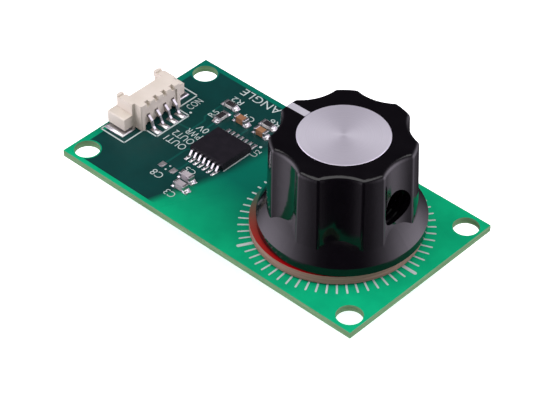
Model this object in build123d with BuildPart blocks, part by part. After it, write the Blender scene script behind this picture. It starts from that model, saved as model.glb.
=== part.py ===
from build123d import *
import math
import os

os.makedirs("parts", exist_ok=True)

# ---------------------------------------------------------------- driving dimensions (mm)
# Origin: centre of the four board holes, on the board's underside. +Z up, +X towards the knob.
BOARD_LENGTH = 41.5
BOARD_WIDTH = 22.0
BOARD_THICKNESS = 0.8
HOLE_SPACING_X = 38.0
HOLE_SPACING_Y = 18.2
HOLE_RADIUS = 1.425

SHAFT_X = 9.1                 # rotation axis, on the board's centre line
SHAFT_RADIUS = 2.5
SHAFT_BOTTOM = -5.0
SHAFT_TOP = 10.9
RUNNING_CLEARANCE = 0.03      # radial, shaft in bushing
FIT_CLEARANCE = 0.02          # between pieces that are pressed or glued together
SHAFT_CHAMFER = 0.35

BUSHING_NECK_RADIUS = 4.0     # fills the hole in the board
BUSHING_FLANGE_RADIUS = 5.6
BUSHING_FLANGE_THICKNESS = 1.0
BUSHING_BOTTOM = -3.6
BUSHING_CHAMFER = 0.3
WASHER_THICKNESS = 0.18
WASHER_RADIUS = 3.9
WASHER_BORE_RADIUS = 2.6
CLIP_RADIUS = 4.1
CLIP_THICKNESS = 0.4
CLIP_END_PLAY = 0.02

AIR_GAP = 0.2                 # board's top face to the rotor disc
DISC_RADIUS = 9.15
DISC_THICKNESS = 1.0
HUB_BOSS_RADIUS = 3.4
HUB_FLANGE_RADIUS = 5.0
HUB_FLANGE_THICKNESS = 0.45
TARGET_THICKNESS = 0.07

KNOB_OFFSET = 0.68            # the screw pulls the oversize bore this far to its own side
KNOB_AZIMUTH = 1.0            # degrees: direction of the set screw; the pointer is opposite
KNOB_BOTTOM = 2.25
KNOB_TOP = 13.4
LOBE_COUNT = 7
LOBE_RADIUS = 7.6             # at the top; the sides draw out by SIDE_DRAFT towards the bottom
FLUTE_RADIUS = 4.9
FLUTE_DEPTH_RADIUS = 6.75     # knob radius at the middle of a flute, at the top
SIDE_DRAFT = 0.3
SKIRT_RADIUS = 8.91
SKIRT_BAND = 0.95             # height of the upright rim of the skirt
TOP_EDGE_RADIUS = 0.45
LOBE_CORNER_RADIUS = 0.5
INLAY_RADIUS = 4.84
INLAY_THICKNESS = 0.6
INLAY_PROUD = 0.02
INLAY_CHAMFER = 0.05
POINTER_WIDTH = 0.9
POINTER_DEPTH = 0.35
INSERT_RADIUS = 4.5
BORE_RADIUS = 3.2
SCREW_RADIUS = 1.95
SCREW_LENGTH = 3.2
SCREW_HEIGHT = 7.8

CONTACT_PITCH = 1.25
CONTACT_COUNT = 4
HOUSING_FRONT = -20.4
HOUSING_REAR = -16.73
HOUSING_HALF_WIDTH = 3.375
HOUSING_REAR_HALF_WIDTH = 3.0
HOUSING_HEIGHT = 3.4
EAR_HALF_SPAN = 4.6

CHIP_X = -8.05
CHIP_Y = 0.35
CHIP_LENGTH = 5.0
CHIP_WIDTH = 4.4
CHIP_HEIGHT = 0.92
CHIP_STANDOFF = 0.08
CHIP_DRAFT = 0.1              # the moulding parts at mid-height and narrows both ways
LEAD_PITCH = 0.65
LEADS_PER_SIDE = 7
LEAD_WIDTH = 0.24
LEAD_TIP = 3.2                # from the package's centre line
LEAD_THICKNESS = 0.13

CHIP_PART_LENGTH = 1.6        # two-terminal surface-mount parts
CHIP_PART_WIDTH = 0.8
TERMINAL_LENGTH = 0.3
CAPACITOR_HEIGHT = 0.8
RESISTOR_HEIGHT = 0.45
PAD_OFFSET = 0.82             # part's centre to its pad's centre
PAD_LENGTH = 0.68
PAD_WIDTH = 0.84
PAD_THICKNESS = 0.05

BOARD_TOP = BOARD_THICKNESS
DISC_BOTTOM = BOARD_TOP + AIR_GAP
DISC_TOP = DISC_BOTTOM + DISC_THICKNESS
PAD_TOP = BOARD_TOP + PAD_THICKNESS

# Each place is x, y and the turn of the part's long axis in degrees.
GREY_CAPACITORS = [(-7.5, -5.4, 0), (-6.92, -6.88, 0)]
BROWN_CAPACITORS = [(-9.9, 5.5, 0), (-6.87, 5.45, 0)]
RESISTORS = [(-12.75, 6.72, 0), (-12.08, 4.62, 90), (-7.35, 7.0, 0)]
SPARE_PLACE = (-10.4, -5.37, 0)


def finish(builder, name):
    """Labels one finished piece and writes its STEP file."""
    builder.part.label = name
    export_step(builder.part, f"parts/{name}.step")


def side_plane(x, y, azimuth):
    """Upright plane through (x, y): its X runs outwards along the azimuth, its Y runs up."""
    turn = math.radians(azimuth)
    return Plane(
        origin=(x, y, 0),
        x_dir=(math.cos(turn), math.sin(turn), 0),
        z_dir=(math.sin(turn), -math.cos(turn), 0),
    )


def shaft_plane(z):
    return Plane(origin=(SHAFT_X, 0, z))


KNOB_TURN = math.radians(KNOB_AZIMUTH)
SCREW_DIRECTION = (math.cos(KNOB_TURN), math.sin(KNOB_TURN), 0)
KNOB_X = SHAFT_X + KNOB_OFFSET * math.cos(KNOB_TURN)
KNOB_Y = KNOB_OFFSET * math.sin(KNOB_TURN)
KNOB_AXIS = Axis((KNOB_X, KNOB_Y, 0), (0, 0, 1))
SHAFT_AXIS = Axis((SHAFT_X, 0, 0), (0, 0, 1))
KNOB_SIDE = side_plane(KNOB_X, KNOB_Y, KNOB_AZIMUTH)
SHAFT_SIDE = side_plane(SHAFT_X, 0, 0)


def knob_plane(z):
    """Level plane on the knob's own axis, its X towards the set screw."""
    return Plane(
        origin=(KNOB_X, KNOB_Y, z),
        x_dir=SCREW_DIRECTION,
        z_dir=(0, 0, 1),
    )


def radial_plane(distance):
    """Upright plane across the screw's line, at a distance from the knob's axis."""
    along_x, along_y, _ = SCREW_DIRECTION
    return Plane(
        origin=(KNOB_X + distance * along_x, KNOB_Y + distance * along_y, SCREW_HEIGHT),
        x_dir=(-along_y, along_x, 0),
        z_dir=SCREW_DIRECTION,
    )


# ---------------------------------------------------------------- board
with BuildPart() as main_board:
    with BuildSketch():
        Rectangle(BOARD_LENGTH, BOARD_WIDTH)
        with GridLocations(HOLE_SPACING_X, HOLE_SPACING_Y, 2, 2):
            Circle(HOLE_RADIUS, mode=Mode.SUBTRACT)
        with Locations((SHAFT_X, 0)):
            Circle(BUSHING_NECK_RADIUS + FIT_CLEARANCE, mode=Mode.SUBTRACT)
    extrude(amount=BOARD_THICKNESS)
finish(main_board, "main_board")

# ---------------------------------------------------------------- bearing and shaft
BUSHING_BORE_RADIUS = SHAFT_RADIUS + RUNNING_CLEARANCE
with BuildPart() as bearing_bushing:
    with BuildSketch(SHAFT_SIDE):
        with BuildLine():
            Polyline(
                (BUSHING_BORE_RADIUS, BUSHING_BOTTOM),
                (BUSHING_NECK_RADIUS - BUSHING_CHAMFER, BUSHING_BOTTOM),
                (BUSHING_NECK_RADIUS, BUSHING_BOTTOM + BUSHING_CHAMFER),
                (BUSHING_NECK_RADIUS, -BUSHING_FLANGE_THICKNESS),
                (BUSHING_FLANGE_RADIUS, -BUSHING_FLANGE_THICKNESS),
                (BUSHING_FLANGE_RADIUS, 0),
                (BUSHING_NECK_RADIUS, 0),
                (BUSHING_NECK_RADIUS, BOARD_TOP),
                (BUSHING_BORE_RADIUS, BOARD_TOP),
                close=True,
            )
        make_face()
    revolve(axis=SHAFT_AXIS)
finish(bearing_bushing, "bearing_bushing")

SOLDER_WIDTH = 0.5
SOLDER_WAIST = 0.12           # the fillet is concave: this thick at half its height
with BuildPart() as bushing_solder:
    with BuildSketch(SHAFT_SIDE):
        with BuildLine():
            Polyline(
                (BUSHING_FLANGE_RADIUS, 0),
                (BUSHING_FLANGE_RADIUS, -SOLDER_WIDTH),
                (BUSHING_FLANGE_RADIUS + SOLDER_WAIST, -SOLDER_WIDTH / 2),
                (BUSHING_FLANGE_RADIUS + SOLDER_WIDTH, 0),
                close=True,
            )
        make_face()
    revolve(axis=SHAFT_AXIS)
finish(bushing_solder, "bushing_solder")

with BuildPart() as upper_thrust_washer:
    with BuildSketch(shaft_plane(BOARD_TOP)):
        Circle(HUB_BOSS_RADIUS)
        Circle(WASHER_BORE_RADIUS, mode=Mode.SUBTRACT)
    extrude(amount=WASHER_THICKNESS)
finish(upper_thrust_washer, "upper_thrust_washer")

with BuildPart() as lower_thrust_washer:
    with BuildSketch(shaft_plane(BUSHING_BOTTOM)):
        Circle(WASHER_RADIUS)
        Circle(WASHER_BORE_RADIUS, mode=Mode.SUBTRACT)
    extrude(amount=-WASHER_THICKNESS)
finish(lower_thrust_washer, "lower_thrust_washer")

GROOVE_RADIUS = 2.0
GROOVE_TOP = BUSHING_BOTTOM - WASHER_THICKNESS
GROOVE_HEIGHT = CLIP_THICKNESS + 2 * CLIP_END_PLAY
FLAT_DEPTH = 0.5
FLAT_BOTTOM = 4.0
with BuildPart() as shaft:
    with BuildSketch(shaft_plane(SHAFT_BOTTOM)):
        Circle(SHAFT_RADIUS)
    extrude(amount=SHAFT_TOP - SHAFT_BOTTOM)
    chamfer(shaft.edges().group_by(Axis.Z)[-1], SHAFT_CHAMFER)
    chamfer(shaft.edges().group_by(Axis.Z)[0], SHAFT_CHAMFER)
    with BuildSketch(shaft_plane(GROOVE_TOP)):
        Circle(SHAFT_RADIUS + 1)
        Circle(GROOVE_RADIUS, mode=Mode.SUBTRACT)
    extrude(amount=-GROOVE_HEIGHT, mode=Mode.SUBTRACT)
    flat_plane = Plane(origin=(SHAFT_X, 0, FLAT_BOTTOM), x_dir=SCREW_DIRECTION, z_dir=(0, 0, 1))
    with BuildSketch(flat_plane):
        with Locations((2 * SHAFT_RADIUS - FLAT_DEPTH, 0)):
            Rectangle(2 * SHAFT_RADIUS, 4 * SHAFT_RADIUS)
    extrude(amount=SHAFT_TOP, mode=Mode.SUBTRACT)
finish(shaft, "shaft")

CLIP_GAP_HALF_ANGLE = 38
CLIP_WEB_RADIUS = 3.0
PRONG_WIDTH = 1.5
PRONG_LENGTH = 1.7
with BuildPart() as retaining_clip:
    with BuildSketch(shaft_plane(GROOVE_TOP - CLIP_END_PLAY)):
        Circle(CLIP_RADIUS)
        Circle(CLIP_WEB_RADIUS, mode=Mode.SUBTRACT)
        with PolarLocations(0, 3, start_angle=-90):
            with Locations(((GROOVE_RADIUS + CLIP_RADIUS) / 2, 0)):
                Rectangle(PRONG_LENGTH, PRONG_WIDTH)
        Circle(GROOVE_RADIUS + FIT_CLEARANCE, mode=Mode.SUBTRACT)
        mouth_reach = 2 * CLIP_RADIUS
        mouth_spread = mouth_reach * math.tan(math.radians(CLIP_GAP_HALF_ANGLE))
        Polygon((0, 0), (mouth_spread, mouth_reach), (-mouth_spread, mouth_reach),
                align=None, mode=Mode.SUBTRACT)
    extrude(amount=-CLIP_THICKNESS)
finish(retaining_clip, "retaining_clip")

# ---------------------------------------------------------------- rotor disc
with BuildPart() as rotor_hub:
    with BuildSketch(shaft_plane(DISC_BOTTOM)):
        Circle(HUB_BOSS_RADIUS)
    extrude(amount=DISC_THICKNESS)
    with BuildSketch(shaft_plane(DISC_TOP)):
        Circle(HUB_FLANGE_RADIUS)
    extrude(amount=HUB_FLANGE_THICKNESS)
    with BuildSketch(shaft_plane(DISC_BOTTOM)):
        Circle(SHAFT_RADIUS + FIT_CLEARANCE)
    extrude(amount=DISC_THICKNESS + HUB_FLANGE_THICKNESS, mode=Mode.SUBTRACT)
finish(rotor_hub, "rotor_hub")

TARGET_OUTER = 8.6
TARGET_INNER = 4.6
TARGET_SECTORS = 3
SECTOR_ANGLE = 60


def target_sectors(growth, mode):
    """Three fan-shaped copper fields on the underside of the disc, or their seats."""
    for sector in range(TARGET_SECTORS):
        start = sector * 360 / TARGET_SECTORS - SECTOR_ANGLE / 2
        with BuildSketch(shaft_plane(DISC_BOTTOM)) as fan:
            with BuildLine():
                outer = CenterArc((0, 0), TARGET_OUTER + growth, start, SECTOR_ANGLE)
                inner = CenterArc((0, 0), TARGET_INNER - growth, start, SECTOR_ANGLE)
                Line(outer @ 0, inner @ 0)
                Line(outer @ 1, inner @ 1)
            make_face()
        extrude(fan.sketch, amount=TARGET_THICKNESS, mode=mode)


with BuildPart() as rotor_disc:
    with BuildSketch(shaft_plane(DISC_BOTTOM)):
        Circle(DISC_RADIUS)
        Circle(HUB_BOSS_RADIUS + FIT_CLEARANCE, mode=Mode.SUBTRACT)
    extrude(amount=DISC_THICKNESS)
    target_sectors(FIT_CLEARANCE, Mode.SUBTRACT)
finish(rotor_disc, "rotor_disc")

with BuildPart() as rotor_target:
    target_sectors(0, Mode.ADD)
finish(rotor_target, "rotor_target")

# ---------------------------------------------------------------- knob
FLUTE_CENTRE = FLUTE_DEPTH_RADIUS + FLUTE_RADIUS
BELL_TOP_RADIUS = 6.3
BELL_TOP = 5.9
BELL_MIDDLE_RADIUS = 7.6
BELL_MIDDLE = 4.75
BOSS_RADIUS = 5.6             # holds the insert, inside the hollow skirt
HOLLOW_ROOF = 4.3
HOLLOW_ROOF_RADIUS = 6.7
HOLLOW_LIP = 3.2
HOLLOW_LIP_RADIUS = 7.75
HOLLOW_MOUTH_RADIUS = 7.95
INLAY_SEAT = KNOB_TOP - INLAY_THICKNESS
INSERT_BOTTOM = 3.1
INSERT_TOP = 11.6
BORE_TOP = 11.2
THREAD_PITCH = 0.7
THREAD_DEPTH = 0.16
THREAD_GROOVES = 3
THREAD_START = INSERT_RADIUS + 0.5
SCREW_HOLE_RADIUS = SCREW_RADIUS + FIT_CLEARANCE
POINTER_DROP = 1.3            # how far the pointer runs down the side of its lobe


def add_knob_outside():
    """The whole knob without its hollows: fluted sides with a little draft, on a bell-shaped skirt."""
    sections = []
    for height, growth in ((KNOB_BOTTOM, SIDE_DRAFT), (KNOB_TOP, 0)):
        with BuildSketch(knob_plane(height)) as section:
            Circle(LOBE_RADIUS + growth)
            with PolarLocations(FLUTE_CENTRE, LOBE_COUNT):
                Circle(FLUTE_RADIUS - growth, mode=Mode.SUBTRACT)
            fillet(section.vertices(), LOBE_CORNER_RADIUS)
        sections.append(section.sketch.face())
    loft(sections, ruled=True)
    fillet(faces().sort_by(Axis.Z)[-1].edges(), TOP_EDGE_RADIUS)
    with BuildSketch(KNOB_SIDE) as bell:
        with BuildLine():
            rim_top = (SKIRT_RADIUS, KNOB_BOTTOM + SKIRT_BAND)
            Polyline(
                (BELL_TOP_RADIUS, BELL_TOP),
                (0, BELL_TOP),
                (0, KNOB_BOTTOM),
                (SKIRT_RADIUS, KNOB_BOTTOM),
                rim_top,
            )
            ThreePointArc(rim_top, (BELL_MIDDLE_RADIUS, BELL_MIDDLE), (BELL_TOP_RADIUS, BELL_TOP))
        make_face()
    revolve(bell.sketch, axis=KNOB_AXIS)


def cross_pointer(inner_radius, mode):
    """L-shaped run across a lobe: along its top face from the inlay, then over the edge and down."""
    corner = LOBE_RADIUS - POINTER_DEPTH
    with BuildSketch(KNOB_SIDE) as run:
        with BuildLine():
            Polyline(
                (-inner_radius, KNOB_TOP - POINTER_DEPTH),
                (-corner, KNOB_TOP - POINTER_DEPTH),
                (-corner, KNOB_TOP - POINTER_DROP),
                (-LOBE_RADIUS - 1, KNOB_TOP - POINTER_DROP),
                (-LOBE_RADIUS - 1, KNOB_TOP + 1),
                (-inner_radius, KNOB_TOP + 1),
                close=True,
            )
        make_face()
    extrude(run.sketch, amount=POINTER_WIDTH / 2, both=True, mode=mode)


with BuildPart() as knob_body:
    add_knob_outside()
    # hollow under the skirt, around the boss that holds the insert
    with BuildSketch(KNOB_SIDE):
        with BuildLine():
            Polyline(
                (0, KNOB_BOTTOM),
                (HOLLOW_MOUTH_RADIUS, KNOB_BOTTOM),
                (HOLLOW_LIP_RADIUS, HOLLOW_LIP),
                (HOLLOW_ROOF_RADIUS, HOLLOW_ROOF),
                (BOSS_RADIUS, HOLLOW_ROOF),
                (BOSS_RADIUS, INSERT_BOTTOM),
                (0, INSERT_BOTTOM),
                close=True,
            )
        make_face()
    revolve(axis=KNOB_AXIS, mode=Mode.SUBTRACT)
    # seats for the insert, the inlay and the pointer's filling
    with BuildSketch(knob_plane(INSERT_BOTTOM)):
        Circle(INSERT_RADIUS + FIT_CLEARANCE)
    extrude(amount=INSERT_TOP - INSERT_BOTTOM + FIT_CLEARANCE, mode=Mode.SUBTRACT)
    with BuildSketch(knob_plane(INLAY_SEAT)):
        Circle(INLAY_RADIUS + FIT_CLEARANCE)
    extrude(amount=INLAY_THICKNESS, mode=Mode.SUBTRACT)
    cross_pointer(INLAY_RADIUS - 1, Mode.SUBTRACT)
    # tapped hole for the set screw
    with BuildSketch(radial_plane(BORE_RADIUS)):
        Circle(SCREW_HOLE_RADIUS)
    extrude(amount=LOBE_RADIUS, mode=Mode.SUBTRACT)
    for groove in range(THREAD_GROOVES):
        middle = THREAD_START + groove * THREAD_PITCH
        with BuildSketch(radial_plane(middle - THREAD_PITCH / 4)):
            Circle(SCREW_HOLE_RADIUS + THREAD_DEPTH)
        extrude(amount=THREAD_PITCH / 2, mode=Mode.SUBTRACT)
finish(knob_body, "knob_body")

with BuildPart() as knob_insert:
    with BuildSketch(knob_plane(INSERT_BOTTOM)):
        Circle(INSERT_RADIUS)
    extrude(amount=INSERT_TOP - INSERT_BOTTOM)
    with BuildSketch(knob_plane(INSERT_BOTTOM)):
        Circle(BORE_RADIUS)
    extrude(amount=BORE_TOP - INSERT_BOTTOM, mode=Mode.SUBTRACT)
    with BuildSketch(radial_plane(0)):
        Circle(SCREW_HOLE_RADIUS)
    extrude(amount=LOBE_RADIUS, mode=Mode.SUBTRACT)
finish(knob_insert, "knob_insert")

SCREW_TIP = SHAFT_RADIUS - FLAT_DEPTH - KNOB_OFFSET + FIT_CLEARANCE / 2
SCREW_CHAMFER = 0.25
SOCKET_FLATS = 2.0
SOCKET_DEPTH = 1.4
with BuildPart() as set_screw:
    with BuildSketch(radial_plane(SCREW_TIP)):
        Circle(SCREW_RADIUS)
    extrude(amount=SCREW_LENGTH)
    chamfer(set_screw.edges().filter_by(GeomType.CIRCLE), SCREW_CHAMFER)
    with BuildSketch(radial_plane(SCREW_TIP + SCREW_LENGTH)):
        RegularPolygon(SOCKET_FLATS / 2, 6, major_radius=False)
    extrude(amount=-SOCKET_DEPTH, mode=Mode.SUBTRACT)
finish(set_screw, "set_screw")

with BuildPart() as knob_inlay:
    with BuildSketch(knob_plane(INLAY_SEAT)):
        Circle(INLAY_RADIUS)
    extrude(amount=INLAY_THICKNESS + INLAY_PROUD)
    chamfer(knob_inlay.edges().group_by(Axis.Z)[-1], INLAY_CHAMFER)
finish(knob_inlay, "knob_inlay")

with BuildPart() as pointer_line:
    add_knob_outside()
    cross_pointer(INLAY_RADIUS + 2 * FIT_CLEARANCE, Mode.INTERSECT)
finish(pointer_line, "pointer_line")

# ---------------------------------------------------------------- chip package
with BuildPart() as chip_body:
    chip_bottom = BOARD_TOP + CHIP_STANDOFF
    for height, inset in (
        (chip_bottom, CHIP_DRAFT),
        (chip_bottom + CHIP_HEIGHT / 2, 0),
        (chip_bottom + CHIP_HEIGHT, CHIP_DRAFT),
    ):
        with BuildSketch(Plane(origin=(CHIP_X, CHIP_Y, height))):
            Rectangle(CHIP_LENGTH - 2 * inset, CHIP_WIDTH - 2 * inset)
    loft(ruled=True)
finish(chip_body, "chip_body")

LEAD_ROOT = CHIP_WIDTH / 2
LEAD_HEIGHT = BOARD_TOP + CHIP_STANDOFF + CHIP_HEIGHT / 2
LEAD_SHOULDER = 0.12          # straight run out of the package before the bend
LEAD_HEEL = 2.72              # where the lead meets its pad


def lead_outline(side):
    """Gull-wing lead seen along X: out of the package, down and along its pad."""
    return [
        (CHIP_Y + side * y, z)
        for y, z in (
            (LEAD_ROOT, LEAD_HEIGHT),
            (LEAD_ROOT + LEAD_SHOULDER, LEAD_HEIGHT),
            (LEAD_HEEL, PAD_TOP),
            (LEAD_TIP, PAD_TOP),
            (LEAD_TIP, PAD_TOP + LEAD_THICKNESS),
            (LEAD_HEEL + 0.1, PAD_TOP + LEAD_THICKNESS),
            (LEAD_ROOT + LEAD_SHOULDER + 0.1, LEAD_HEIGHT + LEAD_THICKNESS),
            (LEAD_ROOT - LEAD_THICKNESS * CHIP_DRAFT / (CHIP_HEIGHT / 2), LEAD_HEIGHT + LEAD_THICKNESS),
        )
    ]


with BuildPart() as chip_leads:
    for place in range(LEADS_PER_SIDE):
        lead_x = CHIP_X + (place - (LEADS_PER_SIDE - 1) / 2) * LEAD_PITCH
        for side in (-1, 1):
            with BuildSketch(Plane(origin=(lead_x, 0, 0), x_dir=(0, 1, 0), z_dir=(1, 0, 0))):
                with BuildLine():
                    Polyline(*lead_outline(side), close=True)
                make_face()
            extrude(amount=LEAD_WIDTH / 2, both=True)
finish(chip_leads, "chip_leads")

# ---------------------------------------------------------------- two-terminal parts


def level_plane(place, z):
    """Level plane at a part's place, its X along the part."""
    x, y, turn = place
    angle = math.radians(turn)
    return Plane(origin=(x, y, z), x_dir=(math.cos(angle), math.sin(angle), 0), z_dir=(0, 0, 1))


def add_blocks(place, bottom, height, length, width, offsets):
    """Blocks at the given offsets along a part's length."""
    with BuildSketch(level_plane(place, bottom)) as outline:
        with Locations(*[(offset, 0) for offset in offsets]):
            Rectangle(length, width)
    extrude(outline.sketch, amount=height)


CERAMIC_LENGTH = CHIP_PART_LENGTH - 2 * TERMINAL_LENGTH
TERMINAL_OFFSET = (CHIP_PART_LENGTH - TERMINAL_LENGTH) / 2
CERAMIC_INSET = 0.04
CAPACITOR_EDGE_RADIUS = 0.05
RESISTOR_EDGE_RADIUS = 0.04


def add_capacitor_body(place):
    add_blocks(place, PAD_TOP + CERAMIC_INSET, CAPACITOR_HEIGHT - 2 * CERAMIC_INSET,
               CERAMIC_LENGTH, CHIP_PART_WIDTH - 2 * CERAMIC_INSET, [0])


with BuildPart() as grey_capacitor_bodies:
    for place in GREY_CAPACITORS:
        add_capacitor_body(place)
finish(grey_capacitor_bodies, "grey_capacitor_bodies")

with BuildPart() as brown_capacitor_bodies:
    for place in BROWN_CAPACITORS:
        add_capacitor_body(place)
finish(brown_capacitor_bodies, "brown_capacitor_bodies")

with BuildPart() as capacitor_terminals:
    for place in GREY_CAPACITORS + BROWN_CAPACITORS:
        add_blocks(place, PAD_TOP, CAPACITOR_HEIGHT, TERMINAL_LENGTH, CHIP_PART_WIDTH,
                   [-TERMINAL_OFFSET, TERMINAL_OFFSET])
    fillet(edges(), CAPACITOR_EDGE_RADIUS)
finish(capacitor_terminals, "capacitor_terminals")

with BuildPart() as resistor_bodies:
    for place in RESISTORS:
        add_blocks(place, PAD_TOP + CERAMIC_INSET, RESISTOR_HEIGHT - 2 * CERAMIC_INSET,
                   CERAMIC_LENGTH, CHIP_PART_WIDTH, [0])
finish(resistor_bodies, "resistor_bodies")

FILM_THICKNESS = 0.04
FILM_WIDTH = 0.7
with BuildPart() as resistor_films:
    for place in RESISTORS:
        add_blocks(place, PAD_TOP + RESISTOR_HEIGHT - CERAMIC_INSET, FILM_THICKNESS,
                   CERAMIC_LENGTH, FILM_WIDTH, [0])
finish(resistor_films, "resistor_films")

with BuildPart() as resistor_terminals:
    for place in RESISTORS:
        add_blocks(place, PAD_TOP, RESISTOR_HEIGHT, TERMINAL_LENGTH, CHIP_PART_WIDTH,
                   [-TERMINAL_OFFSET, TERMINAL_OFFSET])
    fillet(edges(), RESISTOR_EDGE_RADIUS)
finish(resistor_terminals, "resistor_terminals")

# ---------------------------------------------------------------- tinned pads on the board
LEAD_PAD = (0.36, 1.25)
LEAD_PAD_Y = LEAD_TIP - 0.3
CONTACT_PAD = (1.3, 0.7)
CONTACT_PAD_X = -15.75
NAIL_PAD = (2.9, 2.1)
NAIL_PAD_X = -19.05
NAIL_PAD_Y = 4.15


def add_pad_grid(x, y, spacing, counts, size):
    """Rows of equal pads centred on (x, y)."""
    with BuildSketch(Plane(origin=(x, y, BOARD_TOP))) as pads:
        with GridLocations(*spacing, *counts):
            Rectangle(*size)
    extrude(pads.sketch, amount=PAD_THICKNESS)


with BuildPart() as solder_pads:
    for place in GREY_CAPACITORS + BROWN_CAPACITORS + RESISTORS + [SPARE_PLACE]:
        add_blocks(place, BOARD_TOP, PAD_THICKNESS, PAD_LENGTH, PAD_WIDTH, [-PAD_OFFSET, PAD_OFFSET])
    add_pad_grid(CHIP_X, CHIP_Y, (LEAD_PITCH, 2 * LEAD_PAD_Y), (LEADS_PER_SIDE, 2), LEAD_PAD)
    add_pad_grid(CONTACT_PAD_X, 0, (0, CONTACT_PITCH), (1, CONTACT_COUNT), CONTACT_PAD)
    add_pad_grid(NAIL_PAD_X, 0, (0, 2 * NAIL_PAD_Y), (1, 2), NAIL_PAD)
finish(solder_pads, "solder_pads")

# ---------------------------------------------------------------- connector
HOUSING_BOTTOM = PAD_TOP + 0.03
HOUSING_TOP = BOARD_TOP + HOUSING_HEIGHT
STEP_X = -17.8                # the shell is wide and eared in front of this, narrower behind
MOUTH_HALF_WIDTH = 2.6
MOUTH_BOTTOM = BOARD_TOP + 0.7
MOUTH_TOP = BOARD_TOP + 2.75
MOUTH_BACK = -18.0
WINDOW_BACK = -19.15          # the top wall is cut open in front of this
WINDOW_HALF_WIDTH = 2.45
GROOVE_LOW = -20.0            # shallow groove across each tower beside the window
GROOVE_HIGH = -19.65
EAR_BOTTOM = BOARD_TOP + 0.48
EAR_TOP = BOARD_TOP + 1.95
FRONT_CHAMFER = 0.25
EAR_CHAMFER = 0.1
REAR_EDGE_RADIUS = 0.15
GROOVE_DEPTH = 0.2
TAIL_RECESS_DEPTH = 0.15
TAIL_RECESS_HALF_WIDTH = 2.45
TAIL_RECESS_TOP = HOUSING_TOP - 0.5
TAIL_GAP_DEPTH = 0.7
TAIL_GAP_TOP = BOARD_TOP + 0.5
SLOT_WIDTH = 0.5
SLOT_DEPTH = 0.4
NOTCH_DEPTH = 0.5
NOTCH_BOTTOM = HOUSING_TOP - 0.6
PIN_WIDTH = 0.28
PIN_THICKNESS = 0.2
PIN_HEIGHT = BOARD_TOP + 1.6
PIN_START = HOUSING_FRONT + 0.8
CONTACT_YS = [(place - (CONTACT_COUNT - 1) / 2) * CONTACT_PITCH for place in range(CONTACT_COUNT)]


def span(middle, width):
    return (middle - width / 2, middle + width / 2)


def add_span_block(x_span, y_span, z_span, mode=Mode.ADD):
    """Upright block between a low and a high value along each axis."""
    with BuildSketch(Plane(origin=(sum(x_span) / 2, sum(y_span) / 2, z_span[0]))) as block:
        Rectangle(x_span[1] - x_span[0], y_span[1] - y_span[0])
    extrude(block.sketch, amount=z_span[1] - z_span[0], mode=mode)


with BuildPart() as connector_housing:
    whole_height = (HOUSING_BOTTOM, HOUSING_TOP)
    add_span_block((HOUSING_FRONT, STEP_X), span(0, 2 * HOUSING_HALF_WIDTH), whole_height)
    chamfer(connector_housing.edges().filter_by(Axis.Z).group_by(Axis.X)[0], FRONT_CHAMFER)
    add_span_block((STEP_X - 1, HOUSING_REAR), span(0, 2 * HOUSING_REAR_HALF_WIDTH), whole_height)
    fillet(connector_housing.edges().filter_by(Axis.Z).group_by(Axis.X)[-1], REAR_EDGE_RADIUS)
    add_span_block((HOUSING_FRONT, STEP_X), span(0, 2 * EAR_HALF_SPAN), (EAR_BOTTOM, EAR_TOP))
    for ear in (0, -1):
        ear_edges = connector_housing.edges().filter_by(Axis.X).group_by(Axis.Y)[ear]
        chamfer(ear_edges.sort_by(Axis.Z)[-1:], EAR_CHAMFER)
    # mouth for the plug, the window over it and the grooved towers beside the window
    add_span_block((HOUSING_FRONT, MOUTH_BACK), span(0, 2 * MOUTH_HALF_WIDTH),
                   (MOUTH_BOTTOM, MOUTH_TOP), Mode.SUBTRACT)
    add_span_block((HOUSING_FRONT, WINDOW_BACK), span(0, 2 * WINDOW_HALF_WIDTH),
                   (MOUTH_TOP, HOUSING_TOP), Mode.SUBTRACT)
    add_span_block((GROOVE_LOW, GROOVE_HIGH), span(0, 2 * HOUSING_HALF_WIDTH),
                   (HOUSING_TOP - GROOVE_DEPTH, HOUSING_TOP), Mode.SUBTRACT)
    # the back wall is set in between two posts and stops short of the board
    recess = span(0, 2 * TAIL_RECESS_HALF_WIDTH)
    add_span_block((HOUSING_REAR - TAIL_RECESS_DEPTH, HOUSING_REAR), recess,
                   (HOUSING_BOTTOM, TAIL_RECESS_TOP), Mode.SUBTRACT)
    add_span_block((HOUSING_REAR - TAIL_GAP_DEPTH, HOUSING_REAR), recess,
                   (HOUSING_BOTTOM, TAIL_GAP_TOP), Mode.SUBTRACT)
    for y in CONTACT_YS:
        slot_back = HOUSING_REAR - SLOT_DEPTH
        add_span_block((slot_back, HOUSING_REAR), span(y, SLOT_WIDTH),
                       (TAIL_GAP_TOP, PIN_HEIGHT + SLOT_WIDTH / 2), Mode.SUBTRACT)
        add_span_block((HOUSING_REAR - NOTCH_DEPTH, HOUSING_REAR), span(y, SLOT_WIDTH),
                       (NOTCH_BOTTOM, HOUSING_TOP), Mode.SUBTRACT)
        add_span_block((MOUTH_BACK, slot_back), span(y, PIN_WIDTH + 2 * FIT_CLEARANCE),
                       span(PIN_HEIGHT, PIN_THICKNESS + 2 * FIT_CLEARANCE), Mode.SUBTRACT)
finish(connector_housing, "connector_housing")

CONTACT_FOOT_END = -15.3
CONTACT_BEND_TOP = PIN_HEIGHT - 0.5
CONTACT_BEND_BOTTOM = BOARD_TOP + 0.45


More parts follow.
